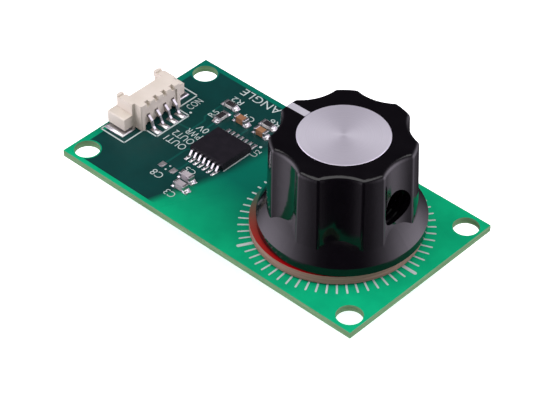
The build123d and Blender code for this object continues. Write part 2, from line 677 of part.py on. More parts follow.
def contact_outline():
    """One contact from the side: straight pin, then an S-bend down to a foot on its pad."""
    pin_low, pin_high = span(PIN_HEIGHT, PIN_THICKNESS)
    low_side = [
        (PIN_START, pin_low),
        (HOUSING_REAR - 0.13, pin_low),
        (HOUSING_REAR + 0.3, CONTACT_BEND_TOP),
        (HOUSING_REAR + 0.45, CONTACT_BEND_BOTTOM),
        (HOUSING_REAR + 0.8, PAD_TOP),
        (CONTACT_FOOT_END, PAD_TOP),
    ]
    high_side = [
        (CONTACT_FOOT_END, PAD_TOP + PIN_THICKNESS),
        (HOUSING_REAR + 0.9, PAD_TOP + PIN_THICKNESS),
        (HOUSING_REAR + 0.66, CONTACT_BEND_BOTTOM + 0.05),
        (HOUSING_REAR + 0.5, CONTACT_BEND_TOP + 0.1),
        (HOUSING_REAR - 0.02, pin_high),
        (PIN_START, pin_high),
    ]
    return low_side + high_side


with BuildPart() as connector_contacts:
    for y in CONTACT_YS:
        with BuildSketch(Plane(origin=(0, y, 0), x_dir=(1, 0, 0), z_dir=(0, -1, 0))):
            with BuildLine():
                Polyline(*contact_outline(), close=True)
            make_face()
        extrude(amount=PIN_WIDTH / 2, both=True)
finish(connector_contacts, "connector_contacts")

NAIL_THICKNESS = 0.2
NAIL_FOOT = (3.55, 4.95)      # from the connector's centre line
NAIL_FOOT_X = (HOUSING_FRONT + 0.2, STEP_X + 0.15)
NAIL_WEB = (3.7, 4.1)
NAIL_WEB_X = (HOUSING_FRONT + 0.5, STEP_X - 0.2)
with BuildPart() as solder_nails:
    for side in (-1, 1):
        foot = sorted(side * reach for reach in NAIL_FOOT)
        web = sorted(side * reach for reach in NAIL_WEB)
        add_span_block(NAIL_FOOT_X, foot, (PAD_TOP, PAD_TOP + NAIL_THICKNESS))
        add_span_block(NAIL_WEB_X, web, (PAD_TOP + NAIL_THICKNESS, EAR_BOTTOM))
finish(solder_nails, "solder_nails")
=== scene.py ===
import math

import bmesh
import bpy
from mathutils import Matrix, Vector


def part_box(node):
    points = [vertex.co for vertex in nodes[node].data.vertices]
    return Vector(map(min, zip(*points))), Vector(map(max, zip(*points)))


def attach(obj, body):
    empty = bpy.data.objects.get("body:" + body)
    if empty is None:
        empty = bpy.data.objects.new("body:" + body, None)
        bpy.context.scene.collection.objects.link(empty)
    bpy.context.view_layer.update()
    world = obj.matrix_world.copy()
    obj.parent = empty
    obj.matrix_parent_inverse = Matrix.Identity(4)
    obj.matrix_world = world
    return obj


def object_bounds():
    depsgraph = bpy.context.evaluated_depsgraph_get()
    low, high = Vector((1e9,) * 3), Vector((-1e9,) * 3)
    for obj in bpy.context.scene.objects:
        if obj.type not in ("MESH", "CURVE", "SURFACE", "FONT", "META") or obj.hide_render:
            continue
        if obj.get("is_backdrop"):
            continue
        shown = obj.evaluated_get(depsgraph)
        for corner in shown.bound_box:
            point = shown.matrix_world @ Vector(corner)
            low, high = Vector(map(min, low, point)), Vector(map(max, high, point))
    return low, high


MM = 0.001
BOARD = "board_assembly"

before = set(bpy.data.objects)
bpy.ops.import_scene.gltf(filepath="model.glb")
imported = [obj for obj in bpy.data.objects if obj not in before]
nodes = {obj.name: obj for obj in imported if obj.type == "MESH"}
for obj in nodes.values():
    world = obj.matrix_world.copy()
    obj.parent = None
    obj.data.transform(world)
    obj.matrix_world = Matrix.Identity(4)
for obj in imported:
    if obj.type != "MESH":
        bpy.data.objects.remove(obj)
low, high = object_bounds()

BOARD_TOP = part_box("main_board")[1].z / MM
SHAFT = Vector((9.1, 0.0, 0.0))   # mm: a point on the rotor's upright axis


# ---------------------------------------------------------------- materials
def add_node(tree, kind, inputs=None, **settings):
    """Adds a shader node: each input is given a value or the socket that feeds it."""
    node = tree.nodes.new(kind)
    for key, value in settings.items():
        setattr(node, key, value)
    for key, value in (inputs or {}).items():
        if isinstance(value, bpy.types.NodeSocket):
            tree.links.new(value, node.inputs[key])
        else:
            node.inputs[key].default_value = value
    return node


class Shader:
    """One procedural material and short ways to add nodes to it."""

    def __init__(self, name):
        self.material = bpy.data.materials.new(name)
        self.material.use_nodes = True
        self.tree = self.material.node_tree
        self.bsdf = self.tree.nodes["Principled BSDF"]
        self.coord = self.tree.nodes.new("ShaderNodeTexCoord")

    def add(self, kind, inputs=None, **settings):
        return add_node(self.tree, kind, inputs, **settings)

    def set(self, **values):
        for key, value in values.items():
            socket = self.bsdf.inputs[key.replace("_", " ")]
            if isinstance(value, bpy.types.NodeSocket):
                self.tree.links.new(value, socket)
            else:
                socket.default_value = value

    def noise(self, per_mm, detail=3.0, stretch=(1, 1, 1)):
        scale = per_mm / MM
        mapping = self.add(
            "ShaderNodeMapping",
            {"Vector": self.coord.outputs["Object"], "Scale": tuple(scale * s for s in stretch)},
        )
        return self.add(
            "ShaderNodeTexNoise",
            {"Vector": mapping.outputs[0], "Scale": 1.0, "Detail": detail},
        ).outputs["Fac"]

    def span(self, value, low_out, high_out, low_in=0.3, high_in=0.7):
        return self.add(
            "ShaderNodeMapRange",
            {"Value": value, "From Min": low_in, "From Max": high_in,
             "To Min": low_out, "To Max": high_out},
        ).outputs[0]

    def mix(self, factor, a, b):
        """Blend of two colours, each given as a socket or as red, green and blue."""
        a, b = [c if isinstance(c, bpy.types.NodeSocket) else (*c, 1.0) for c in (a, b)]
        return self.add("ShaderNodeMix", {0: factor, 6: a, 7: b}, data_type="RGBA").outputs[2]

    def wander(self, a, b):
        """Slow, cloudy change between two colours over a few millimetres."""
        return self.mix(self.span(self.noise(0.35, 3.0), 0.0, 1.0), a, b)

    def math(self, operation, a, b=0.0, c=0.0):
        return self.add("ShaderNodeMath", {0: a, 1: b, 2: c}, operation=operation).outputs[0]

    def reach_from(self, axis):
        """Level distance, in metres, from an upright axis through a point in millimetres."""
        away = self.add(
            "ShaderNodeVectorMath",
            {0: self.coord.outputs["Object"], 1: tuple(-c * MM for c in (axis.x, axis.y, 0))},
            operation="ADD",
        )
        level = self.add("ShaderNodeVectorMath", {0: away.outputs[0], 1: (1, 1, 0)}, operation="MULTIPLY")
        return self.add("ShaderNodeVectorMath", {0: level.outputs[0]}, operation="LENGTH").outputs["Value"]

    def bump(self, height, depth_mm, strength=1.0, over=None):
        """Fine relief, laid over an earlier bump if one is given."""
        inputs = {"Height": height, "Strength": strength, "Distance": depth_mm * MM}
        if over:
            inputs["Normal"] = over.outputs[0]
        node = self.add("ShaderNodeBump", inputs)
        self.set(Normal=node.outputs[0])
        return node


def speckled(name, color, other, roughness, per_mm=3.0, metallic=0.0, depth=0.004, specular=0.5,
             stretch=(1, 1, 1)):
    """Fine-grained material that wanders between two colours and two roughnesses."""
    s = Shader(name)
    grain = s.noise(per_mm, 4.0, stretch)
    cloud = s.noise(per_mm * 0.13, 2.0)
    s.set(
        Base_Color=s.mix(s.span(cloud, 0.0, 1.0), color, other),
        Roughness=s.span(grain, roughness * 0.85, roughness * 1.15),
        Metallic=metallic,
        Specular_IOR_Level=specular,
    )
    s.bump(grain, depth)
    return s.material


# Painted shade: the mask is lightest along the board's near edge and darkened inwards on the wired side, a
# painted shadow of the knob and the chip. Places in mm.
PAINTED_SHADE_FROM_Y = -11.0
PAINTED_SHADE_FULL_Y = -2.0
PAINTED_SHADE_FULL_X = 1.0
PAINTED_SHADE_GONE_X = 10.0
MASK_LIGHT = (0.002, 0.400, 0.175)
MASK_DARK = (0.001, 0.325, 0.145)
# colour of the painted shadow of the knob and the chip on the mask
MASK_PAINTED_SHADE = (0.001, 0.130, 0.085)
MASK_ROUGHNESS = 0.34
MASK_SPECULAR = 0.14
CUT_ROUGHNESS = 0.62          # bare laminate on the cut edges

# The dark mask over the wiring fades out along an arc about the shaft and along a straight near end.
FADE_INNER = 13.3             # radii
FADE_OUTER = 14.9
FADE_LINE = Vector((-5.6, -4.0))  # a point on the straight end
FADE_ACROSS = Vector((6.3, -2.0)).normalized()
FADE_BEFORE = 0.8             # the straight end fades from this far before the line
FADE_BEYOND = 0.3             # to this far beyond it


def mask_color_and_painted_shade(s, light, dark):
    """Solder mask's colour: it wanders a little, and painted shade darkens it to deep green inwards on the
    wired side.

    The rotor disc's red mask uses this too, so it takes on some of that painted shade, which turns with it.
    """
    place = s.add("ShaderNodeSeparateXYZ", {"Vector": s.coord.outputs["Object"]})
    shade_in_from_edge = s.span(place.outputs["Y"], 0.0, 1.0, PAINTED_SHADE_FROM_Y * MM, PAINTED_SHADE_FULL_Y * MM)
    shade_toward_wired_side = s.span(place.outputs["X"], 1.0, 0.0, PAINTED_SHADE_FULL_X * MM, PAINTED_SHADE_GONE_X * MM)
    # painted shade: how far the painted shadow darkens the mask here
    painted_shade = s.math("MULTIPLY", shade_in_from_edge, shade_toward_wired_side)
    return s.mix(painted_shade, s.wander(light, dark), MASK_PAINTED_SHADE)


def add_weave(s):
    """The glass cloth's faint relief under the mask."""
    s.bump(s.noise(2.5, 2.0, (1, 1, 0.2)), 0.004)


def laminate(name, mask_light, mask_dark, edge, edge_dark):
    """Circuit board: glossy mask on the flat faces, bare layered laminate on the cut edges."""
    s = Shader(name)
    split = s.add("ShaderNodeSeparateXYZ", {"Vector": s.coord.outputs["Normal"]})
    flat = s.math("GREATER_THAN", s.math("ABSOLUTE", split.outputs["Z"]), 0.5)
    plies = s.noise(1.2, 2.0, (0.15, 0.15, 7.0))
    # the mask's colour carries painted shade inwards on the wired side
    mask = mask_color_and_painted_shade(s, mask_light, mask_dark)
    cut = s.mix(s.span(plies, 0.0, 1.0), edge, edge_dark)
    s.set(
        Base_Color=s.mix(flat, cut, mask),
        Roughness=s.math("MULTIPLY_ADD", flat, MASK_ROUGHNESS - CUT_ROUGHNESS, CUT_ROUGHNESS),
        Specular_IOR_Level=MASK_SPECULAR,
    )
    add_weave(s)
    return s.material


def dark_mask(light, dark, deep, deeper):
    """Mask over the wired area: it fades to the board's own green around the sensing coils."""
    s = Shader("mask_over_wiring")
    around = s.span(s.reach_from(SHAFT), 0.0, 1.0, FADE_INNER * MM, FADE_OUTER * MM)
    across = s.add(
        "ShaderNodeVectorMath",
        {0: s.coord.outputs["Object"], 1: (*FADE_ACROSS, 0)},
        operation="DOT_PRODUCT",
    ).outputs["Value"]
    middle = FADE_LINE.dot(FADE_ACROSS)
    before_line = s.span(across, 1.0, 0.0, (middle - FADE_BEFORE) * MM, (middle + FADE_BEYOND) * MM)
    fade = s.math("MULTIPLY", around, before_line)
    s.set(
        # the faded edge takes the board's green, painted shade included
        Base_Color=s.mix(fade, mask_color_and_painted_shade(s, light, dark), s.wander(deep, deeper)),
        Roughness=s.span(s.noise(1.5, 3.0), MASK_ROUGHNESS - 0.03, MASK_ROUGHNESS + 0.03),
        Specular_IOR_Level=MASK_SPECULAR,
    )
    add_weave(s)
    return s.material


SILK = speckled("silkscreen_ink", (0.50, 0.56, 0.54), (0.42, 0.49, 0.47), 0.6, 6.0, depth=0.006)
BOARD_GREEN = laminate("board_laminate", MASK_LIGHT, MASK_DARK, (0.15, 0.27, 0.14), (0.08, 0.16, 0.07))
DARK_GREEN = dark_mask(MASK_LIGHT, MASK_DARK, (0.004, 0.044, 0.040), (0.004, 0.036, 0.033))
TRACE_GREEN = speckled("mask_over_trace", (0.005, 0.075, 0.062), (0.005, 0.065, 0.055),
                       MASK_ROUGHNESS, 2.5, specular=MASK_SPECULAR)
# the disc's red mask takes the same painted shade, darkening it towards green
DISC_RED = laminate("disc_laminate", (0.42, 0.002, 0.006), (0.34, 0.002, 0.005), (0.30, 0.19, 0.15),
                    (0.20, 0.12, 0.09))
SOLDER = speckled("solder", (0.86, 0.84, 0.85), (0.72, 0.70, 0.71), 0.36, 2.2, metallic=1.0, depth=0.02)
TIN = speckled("tin_plate", (0.66, 0.65, 0.66), (0.54, 0.53, 0.54), 0.34, 5.0, metallic=1.0, depth=0.005)
BRASS = speckled("turned_brass", (0.80, 0.60, 0.28), (0.72, 0.53, 0.24), 0.28, 4.0, metallic=1.0,
                 stretch=(0.2, 0.2, 3.0))
STEEL = speckled("ground_steel", (0.60, 0.60, 0.61), (0.52, 0.52, 0.53), 0.26, 5.0, metallic=1.0,
                 stretch=(0.2, 0.2, 3.0))
SPRING = speckled("blackened_spring_steel", (0.20, 0.20, 0.21), (0.14, 0.14, 0.15), 0.38, 4.0, metallic=1.0)
COPPER = speckled("copper_foil", (0.85, 0.45, 0.28), (0.78, 0.40, 0.24), 0.30, 5.0, metallic=1.0)
ACETAL = speckled("white_acetal", (0.78, 0.78, 0.74), (0.72, 0.72, 0.68), 0.45, 3.0)
HUB = speckled("hub_moulding", (0.018, 0.018, 0.019), (0.026, 0.026, 0.027), 0.42, 4.0)
CHIP = speckled("moulding_compound", (0.007, 0.006, 0.009), (0.011, 0.009, 0.013), 0.48, 9.0, depth=0.010,
                specular=0.18)
IVORY = speckled("ivory_nylon", (0.68, 0.62, 0.54), (0.61, 0.55, 0.47), 0.48, 3.0, depth=0.006)
GREY_CERAMIC = speckled("grey_ceramic", (0.42, 0.38, 0.40), (0.34, 0.31, 0.33), 0.42, 6.0)
BROWN_CERAMIC = speckled("brown_ceramic", (0.33, 0.17, 0.085), (0.25, 0.12, 0.06), 0.40, 6.0)
ALUMINA = speckled("alumina", (0.75, 0.74, 0.72), (0.66, 0.65, 0.63), 0.5, 6.0)
FILM = speckled("resistor_glaze", (0.020, 0.018, 0.020), (0.030, 0.026, 0.028), 0.28, 6.0)
PAINT = speckled("pointer_paint", (0.46, 0.45, 0.49), (0.38, 0.37, 0.41), 0.45, 3.0, depth=0.01)
BLACK_STEEL = speckled("black_oxide_steel", (0.030, 0.030, 0.032), (0.045, 0.045, 0.047), 0.40, 5.0,
                       metallic=1.0)


def knob_material():
    """Black moulding: polished sides with faint ripples, satin on the top face."""
    s = Shader("black_phenolic")
    split = s.add("ShaderNodeSeparateXYZ", {"Vector": s.coord.outputs["Normal"]})
    top = s.math("GREATER_THAN", split.outputs["Z"], 0.9)
    grain = s.noise(7.0, 4.0)
    ripple = s.noise(0.22, 1.0)
    smudge = s.noise(0.5, 3.0)
    rough = s.math("ADD", s.math("MULTIPLY", top, 0.10), s.span(smudge, 0.07, 0.13))
    s.set(
        Base_Color=s.mix(smudge, (0.0012, 0.0008, 0.0016), (0.0022, 0.0016, 0.0027)),
        Roughness=rough,
        Specular_IOR_Level=0.4,
    )
    ripples = s.bump(ripple, 0.03)
    s.bump(grain, 0.006, s.math("MULTIPLY", top, 0.8), over=ripples)
    return s.material


RINGS_PER_MM = 9.0


def spun_material(centre):
    """Aluminium faced in a lathe: rings about the centre, and light that fans out from it."""
    s = Shader("spun_aluminium")
    rings = s.add(
        "ShaderNodeTexNoise",
        {"W": s.math("MULTIPLY", s.reach_from(centre), RINGS_PER_MM / MM), "Scale": 1.0, "Detail": 3.0},
        noise_dimensions="1D",
    ).outputs["Fac"]
    tangent = s.add("ShaderNodeTangent", direction_type="RADIAL", axis="Z")
    s.set(
        Base_Color=s.mix(rings, (0.84, 0.81, 0.90), (0.76, 0.73, 0.81)),
        Metallic=1.0,
        Roughness=s.span(rings, 0.50, 0.58),
        Anisotropic=0.25,
        Tangent=tangent.outputs[0],
    )
    s.bump(rings, 0.002)
    return s.material


KNOB = knob_material()
inlay_low, inlay_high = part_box("knob_inlay")
INLAY = spun_material((inlay_low + inlay_high) / 2 / MM)

FINISHES = {
    "main_board": BOARD_GREEN,
    "bearing_bushing": BRASS,
    "bushing_solder": SOLDER,
    "upper_thrust_washer": ACETAL,
    "lower_thrust_washer": ACETAL,
    "shaft": STEEL,
    "retaining_clip": SPRING,
    "rotor_hub": HUB,
    "rotor_disc": DISC_RED,
    "rotor_target": COPPER,
    "knob_body": KNOB,
    "knob_insert": BRASS,
    "knob_inlay": INLAY,
    "pointer_line": PAINT,
    "set_screw": BLACK_STEEL,
    "chip_body": CHIP,
    "chip_leads": TIN,
    "grey_capacitor_bodies": GREY_CERAMIC,
    "brown_capacitor_bodies": BROWN_CERAMIC,
    "capacitor_terminals": TIN,
    "resistor_bodies": ALUMINA,
    "resistor_films": FILM,
    "resistor_terminals": TIN,
    "solder_pads": SOLDER,
    "connector_housing": IVORY,
    "connector_contacts": TIN,
    "solder_nails": TIN,
}
for name, material in FINISHES.items():
    for slot in nodes[name].material_slots:
        slot.material = material


# ---------------------------------------------------------------- mesh helpers
def to_object(mesh_data, name, material, body):
    """Turns a bmesh in millimetres into an object that rides on a body."""
    bmesh.ops.recalc_face_normals(mesh_data, faces=mesh_data.faces)
    bmesh.ops.transform(mesh_data, matrix=Matrix.Scale(MM, 4), verts=mesh_data.verts)
    mesh = bpy.data.meshes.new(name)
    mesh_data.to_mesh(mesh)
    mesh_data.free()
    mesh.materials.append(material)
    obj = bpy.data.objects.new(name, mesh)
    bpy.context.scene.collection.objects.link(obj)
    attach(obj, body)
    return obj


def add_prism(mesh_data, outline, bottom, top):
    """Upright prism over an outline of x, y points."""
    lower = [mesh_data.verts.new((x, y, bottom)) for x, y in outline]
    upper = [mesh_data.verts.new((x, y, top)) for x, y in outline]
    mesh_data.faces.new(lower[::-1])
    mesh_data.faces.new(upper)
    count = len(outline)
    for i in range(count):
        j = (i + 1) % count
        mesh_data.faces.new((lower[i], lower[j], upper[j], upper[i]))


def add_bar(mesh_data, start, end, width, bottom, top):
    """Straight stroke with rounded ends."""
    start, end = Vector(start), Vector(end)
    along = (end - start).normalized()
    angle = math.atan2(along.y, along.x)
    reach = width / 2
    outline = []
    for centre, first in ((end, -90), (start, 90)):
        for turn in range(first, first + 181, 30):
            a = angle + math.radians(turn)
            outline.append((centre.x + reach * math.cos(a), centre.y + reach * math.sin(a)))
    add_prism(mesh_data, outline, bottom, top)


def add_dot(mesh_data, x, y, radius, bottom, top):
    turns = [math.radians(turn) for turn in range(0, 360, 20)]
    outline = [(x + radius * math.cos(a), y + radius * math.sin(a)) for a in turns]
    add_prism(mesh_data, outline, bottom, top)


# ---------------------------------------------------------------- printed marks
PRINT_BOTTOM = BOARD_TOP - 0.01   # what is printed is sunk a little into the board
INK = 0.02
INK_TOP = BOARD_TOP + INK
MASK_TOP = BOARD_TOP + 0.006

# the dark field: straight on three sides, with an arc about the shaft on the fourth
DARK_ARC_START = 129          # degrees
DARK_ARC_TURN = 71
DARK_ARC_STEPS = 10
dark_arc = []
for step in range(DARK_ARC_STEPS + 1):
    a = math.radians(DARK_ARC_START + DARK_ARC_TURN * step / DARK_ARC_STEPS)
    dark_arc.append((SHAFT.x + FADE_INNER * math.cos(a), FADE_INNER * math.sin(a)))
dark = bmesh.new()
dark_outline = [(-19.95, 10.35), (-19.95, -10.45), (-6.4, -10.45), (-4.9, -7.0)] + dark_arc[::-1]
add_prism(dark, dark_outline, PRINT_BOTTOM, MASK_TOP)
dark_field = to_object(dark, "dark_mask_field", DARK_GREEN, BOARD)

TICK_COUNT = 60
LONG_TICK_EVERY = 20
TICK_WIDTH = 0.21
TICK_INNER = 8.4              # radii
TICK_OUTER = 10.27
LONG_TICK_WIDTH = 0.40
LONG_TICK_OUTER = 10.68
ticks = bmesh.new()
for index in range(TICK_COUNT):
    angle = math.radians(index * 360 / TICK_COUNT)
    is_long = index % LONG_TICK_EVERY == 0
    width = LONG_TICK_WIDTH if is_long else TICK_WIDTH
    outer = LONG_TICK_OUTER if is_long else TICK_OUTER
    direction = Vector((math.cos(angle), math.sin(angle)))
    add_bar(ticks, SHAFT.xy + TICK_INNER * direction, SHAFT.xy + outer * direction, width,
            PRINT_BOTTOM, INK_TOP)
to_object(ticks, "angle_ticks", SILK, BOARD)

lines = bmesh.new()
LINE_WIDTH = 0.165
CHIP_LINE_WIDTH = 0.15
CONNECTOR_OUTLINE = [
    (-20.45, -5.65), (-16.85, -5.65), (-16.85, -2.75), (-16.6, -2.5), (-15.0, -2.5), (-15.0, 2.5),
    (-16.6, 2.5), (-16.85, 2.75), (-16.85, 5.65), (-20.45, 5.65),
]
for start, end in zip(CONNECTOR_OUTLINE, CONNECTOR_OUTLINE[1:]):
    add_bar(lines, start, end, LINE_WIDTH, PRINT_BOTTOM, INK_TOP)
for side in (-1, 1):
    add_bar(lines, (-20.45, side * 5.65), (-20.45, side * 3.3), LINE_WIDTH, PRINT_BOTTOM, INK_TOP)
for x in (-5.62, -10.48):
    add_bar(lines, (x, -1.7), (x, 2.3), CHIP_LINE_WIDTH, PRINT_BOTTOM, INK_TOP)
# dots beside the connector, the chip and the unused place: x, y, radius
DOTS = [(-15.25, 2.98, 0.16), (-5.5, 3.9, 0.17), (-10.4, -5.02, 0.12), (-10.4, -5.72, 0.12)]
for x, y, radius in DOTS:
    add_dot(lines, x, y, radius, PRINT_BOTTOM, INK_TOP)
to_object(lines, "outline_marks", SILK, BOARD)

# Words are generic: supply and output names, and plain part references.
# text, centre x, centre y, cap height, overall length, turn in degrees
WORDS = [
    ("0V", -12.2, 1.82, 0.9, 1.4, 180),
    ("PWR", -12.4, 0.58, 0.95, 2.1, 180),
    ("OUT2", -12.8, -0.62, 0.95, 2.9, 180),
    ("OUT1", -12.8, -1.85, 0.95, 2.9, 180),
    ("ANGLE", -10.9, 9.68, 1.15, 5.6, 180),
    ("R2", -12.9, 7.98, 0.8, 1.5, 180),
    ("R5", -13.28, 4.6, 0.8, 1.2, 90),
    ("C4", -9.9, 6.62, 0.8, 1.5, 180),
    ("R6", -7.2, 7.95, 0.8, 1.4, 180),
    ("CON", -16.0, 4.35, 0.95, 2.0, 90),
    ("U2", -5.15, 2.8, 0.7, 1.2, 90),
    ("C5", -8.3, -4.1, 0.7, 1.4, 180),
    ("C8", -10.55, -6.88, 0.95, 1.5, 180),
    ("C3", -7.28, -8.22, 0.9, 1.3, 180),
]


LETTER_THINNING = -0.006      # in units of the font's size


def word_mesh(text, x, y, cap, length, turn):
    """Raised word in millimetres, stretched to its own height and length."""
    curve = bpy.data.curves.new("word_" + text, "FONT")
    curve.body = text
    curve.size = 1.0
    curve.extrude = 0.5
    curve.offset = LETTER_THINNING
    curve.resolution_u = 3
    source = bpy.data.objects.new("word_" + text, curve)
    bpy.context.scene.collection.objects.link(source)
    bpy.context.view_layer.update()
    mesh = bpy.data.meshes.new_from_object(source.evaluated_get(bpy.context.evaluated_depsgraph_get()))
    bpy.data.objects.remove(source)
    xs = [v.co.x for v in mesh.vertices]
    ys = [v.co.y for v in mesh.vertices]
    middle = Vector(((min(xs) + max(xs)) / 2, (min(ys) + max(ys)) / 2, 0))
    scale = Matrix.Diagonal((length / (max(xs) - min(xs)), cap / (max(ys) - min(ys)), INK, 1))
    place = Matrix.Translation((x, y, BOARD_TOP + INK / 2)) @ Matrix.Rotation(math.radians(turn), 4, "Z")
    mesh.transform(place @ scale @ Matrix.Translation(-middle))
    return mesh


letters = bmesh.new()
for word in WORDS:
    letters.from_mesh(word_mesh(*word))
to_object(letters, "printed_words", SILK, BOARD)

traces = bmesh.new()
TRACE_RUNS = [
    [(-11.15, -5.0), (-11.15, -1.9), (-10.9, -1.6)],
    [(-13.55, 6.4), (-13.65, 6.1), (-13.65, 3.6), (-13.15, 3.05), (-13.15, 0.9), (-15.3, 0.7)],
    [(-12.08, 3.7), (-12.08, 2.4), (-11.5, 1.9), (-10.7, 1.9)],
    [(-10.72, 5.5), (-11.4, 5.5), (-11.9, 6.0), (-11.9, 6.7)],
    [(-9.05, 5.5), (-8.6, 5.0), (-8.6, 3.9)],
    [(-6.05, 5.45), (-5.6, 6.0), (-5.6, 7.4)],
    [(-9.35, -3.2), (-9.35, -4.6), (-9.6, -5.0)],
]
TRACE_WIDTH = 0.25
TRACE_RISE = 0.012
TRACE_STEP = 0.0005           # each stretch of a run is this much higher, so that joining tops differ
for run in TRACE_RUNS:
    for place, (start, end) in enumerate(zip(run, run[1:])):
        top = BOARD_TOP + TRACE_RISE + TRACE_STEP * place
        add_bar(traces, start, end, TRACE_WIDTH, PRINT_BOTTOM, top)
to_object(traces, "traces_under_mask", TRACE_GREEN, BOARD)

# the dark field keeps clear of the screw holes
HOLE_X = 19.0
HOLE_Y = 9.1
HOLE_CLEARANCE_RADIUS = 1.6
cutter = bmesh.new()
for x in (-HOLE_X, HOLE_X):
    for y in (-HOLE_Y, HOLE_Y):
        add_dot(cutter, x, y, HOLE_CLEARANCE_RADIUS, BOARD_TOP - 1, BOARD_TOP + 1)
cut_object = to_object(cutter, "hole_clearance", DARK_GREEN, BOARD)
boolean = dark_field.modifiers.new("holes", "BOOLEAN")
boolean.operation = "DIFFERENCE"
boolean.solver = "EXACT"
boolean.object = cut_object
bpy.context.view_layer.update()
cut_mesh = bpy.data.meshes.new_from_object(
    dark_field.evaluated_get(bpy.context.evaluated_depsgraph_get())
)
dark_field.modifiers.clear()
dark_field.data = cut_mesh
bpy.data.objects.remove(cut_object)


# ---------------------------------------------------------------- solder
def solids_of(name):
    """Boxes, in millimetres, of the separate solids in a CAD node."""
    copy = bmesh.new()
    copy.from_mesh(nodes[name].data)
    bmesh.ops.remove_doubles(copy, verts=copy.verts, dist=1e-7)
    seen = set()
    boxes = []
    for first in copy.verts:
        if first in seen:
            continue
        seen.add(first)
        group = [first]
        for vert in group:
            for edge in vert.link_edges:
                other = edge.other_vert(vert)
                if other not in seen:
                    seen.add(other)
                    group.append(other)
        corners = list(zip(*(vert.co / MM for vert in group)))
        boxes.append((Vector(map(min, corners)), Vector(map(max, corners))))
    copy.free()
    return boxes


def add_mound(mesh_data, base, crown, bottom, height):
    """Solder drawn up from a pad's outline to a smaller outline, hollow-sided as wetted solder is."""
    rings = []
    for climb in (0.0, 0.4, 0.75, 1.0):
        x0, y0 = (base[0][k] + climb * (crown[0][k] - base[0][k]) for k in (0, 1))
        x1, y1 = (base[1][k] + climb * (crown[1][k] - base[1][k]) for k in (0, 1))
        z = bottom + height * climb * climb
        rings.append([mesh_data.verts.new(p) for p in ((x0, y0, z), (x1, y0, z), (x1, y1, z), (x0, y1, z))])
    mesh_data.faces.new(rings[0][::-1])
    mesh_data.faces.new(rings[-1])
    for below, above in zip(rings, rings[1:]):
        for i in range(4):
            j = (i + 1) % 4
            mesh_data.faces.new((below[i], below[j], above[j], above[i])).smooth = True


PADS = solids_of("solder_pads")


def pad_under(box):
    """The pad that holds the middle of a box, or the nearest one."""
    middle = (box[0] + box[1]) / 2
    return min(PADS, key=lambda pad: ((pad[0] + pad[1]) / 2 - middle).xy.length)


def solder_piece(name, boxes, share, foot=None):
    """Solder mounds under terminals: share is how far up the terminal the solder climbs."""
    mesh_data = bmesh.new()
    for box in boxes:
        crown = foot(box) if foot else box
        pad = pad_under(crown)
        rise = share * (crown[1].z - crown[0].z)
        add_mound(mesh_data, pad, crown, pad[1].z, rise)
    return to_object(mesh_data, name, SOLDER, BOARD)


chip_low, chip_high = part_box("chip_body")
CHIP_MIDDLE_Y = (chip_low.y + chip_high.y) / 2 / MM
LEAD_FOOT = 0.5               # lengths of the feet that lie on pads
CONTACT_FOOT = 0.6
LEAD_THICKNESS = 0.13
CONTACT_THICKNESS = 0.2       # the nails are as thick


def lead_foot(box):
    """The outer end of a lead, on whichever side of the chip it is."""
    low_corner, high_corner = box[0].copy(), box[1].copy()
    if low_corner.y > CHIP_MIDDLE_Y:
        low_corner.y = high_corner.y - LEAD_FOOT
    else:
        high_corner.y = low_corner.y + LEAD_FOOT
    high_corner.z = low_corner.z + LEAD_THICKNESS
    return low_corner, high_corner


def contact_foot(box):
    low_corner, high_corner = box[0].copy(), box[1].copy()
    low_corner.x = high_corner.x - CONTACT_FOOT
    high_corner.z = low_corner.z + CONTACT_THICKNESS
    return low_corner, high_corner


def nail_foot(box):
    high_corner = box[1].copy()
    high_corner.z = box[0].z + CONTACT_THICKNESS
    return box[0], high_corner


solder_piece("capacitor_solder", solids_of("capacitor_terminals"), 0.4)
solder_piece("resistor_solder", solids_of("resistor_terminals"), 0.7)
solder_piece("lead_solder", solids_of("chip_leads"), 0.5, lead_foot)
solder_piece("contact_solder", solids_of("connector_contacts"), 0.9, contact_foot)
solder_piece("nail_solder", solids_of("solder_nails"), 0.8, nail_foot)

# solder left on the unused pads bulges a little
BULGE = 0.07
BULGE_FOOT = 0.02             # its layers start this far up the pad
BULGE_LAYERS = [(0.95, 0.5), (0.75, 0.85), (0.45, 1.0)]  # share of the pad's size, share of the bulge
SMALL_PAD = (0.5, 1.0)        # sizes between which a pad belongs to a two-terminal part
spare = bmesh.new()
small_terminals = solids_of("capacitor_terminals") + solids_of("resistor_terminals")
for pad in PADS:
    size = pad[1] - pad[0]
    middle = (pad[0] + pad[1]) / 2
    nearest = min(((box[0] + box[1]) / 2 - middle).xy.length for box in small_terminals)
    is_small = all(SMALL_PAD[0] < length < SMALL_PAD[1] for length in size.xy)
    if is_small and nearest > size.x:
        for share, rise in BULGE_LAYERS:
            half = size * share / 2
            turns = [math.radians(step) for step in range(0, 360, 15)]
            outline = [(middle.x + half.x * math.cos(a), middle.y + half.y * math.sin(a)) for a in turns]
            add_prism(spare, outline, pad[0].z + BULGE_FOOT, pad[1].z + BULGE * rise)
to_object(spare, "spare_pad_solder", SOLDER, BOARD)

# ---------------------------------------------------------------- smooth shading of round CAD pieces
SHARP_EDGE = math.radians(30)
for name in ("knob_body", "shaft", "bearing_bushing", "rotor_disc", "rotor_hub", "set_screw",
             "knob_inlay", "knob_insert", "retaining_clip", "bushing_solder"):
    nodes[name].data.shade_smooth()
    nodes[name].data.set_sharp_from_angle(angle=SHARP_EDGE)

